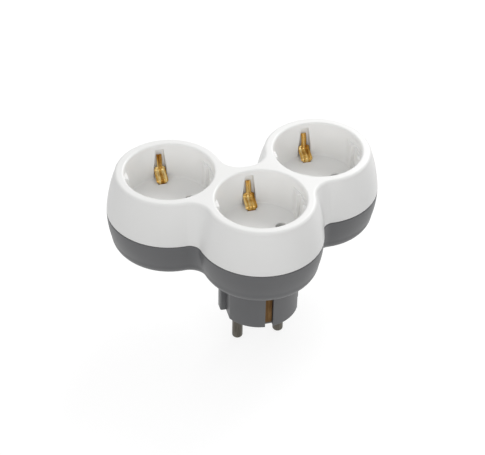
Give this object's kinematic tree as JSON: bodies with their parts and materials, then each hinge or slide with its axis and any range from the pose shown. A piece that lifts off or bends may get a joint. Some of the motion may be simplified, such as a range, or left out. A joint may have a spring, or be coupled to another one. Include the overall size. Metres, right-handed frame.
{
  "type": "triple socket adapter",
  "caption": "Earthed plug-in adapter whose round lobes each carry a recessed socket, in a white cover over a grey housing.",
  "frame": {"origin": "centre of the plug's engagement face, midway between the two pins", "axes": "+Z from the plug to the sockets, X along the line of the pins, +Y towards the gap between the two rear sockets"},
  "size_m": [0.123, 0.0834, 0.0777],
  "materials": {
    "white_plastic": "smooth moulded, soft gloss",
    "grey_plastic": "smooth moulded, satin",
    "dark_plastic": "moulded, matte",
    "brass": "stamped and formed, bright",
    "nickel": "turned, dull nickel plate",
    "steel": "zinc plated"
  },
  "bodies": {
    "root": {"top_cover": "white_plastic", "bottom_housing": "grey_plastic", "contact_carrier": "dark_plastic", "earth_frame": "brass", "bus_bar_left": "brass", "bus_bar_right": "brass", "plug_pin_left": "nickel", "plug_pin_right": "nickel", "pin_strap_left": "brass", "pin_strap_right": "brass", "plug_earth_contact_front": "brass", "plug_earth_contact_rear": "brass", "pin_contact_front_left": "brass", "pin_contact_front_right": "brass", "pin_contact_left_left": "brass", "pin_contact_left_right": "brass", "pin_contact_right_left": "brass", "pin_contact_right_right": "brass", "earth_clip_front_front": "brass", "earth_clip_front_rear": "brass", "earth_clip_left_front": "brass", "earth_clip_left_rear": "brass", "earth_clip_right_front": "brass", "earth_clip_right_rear": "brass", "screw_1": "steel", "screw_2": "steel", "screw_3": "steel", "screw_4": "steel"}
  },
  "joints": []
}
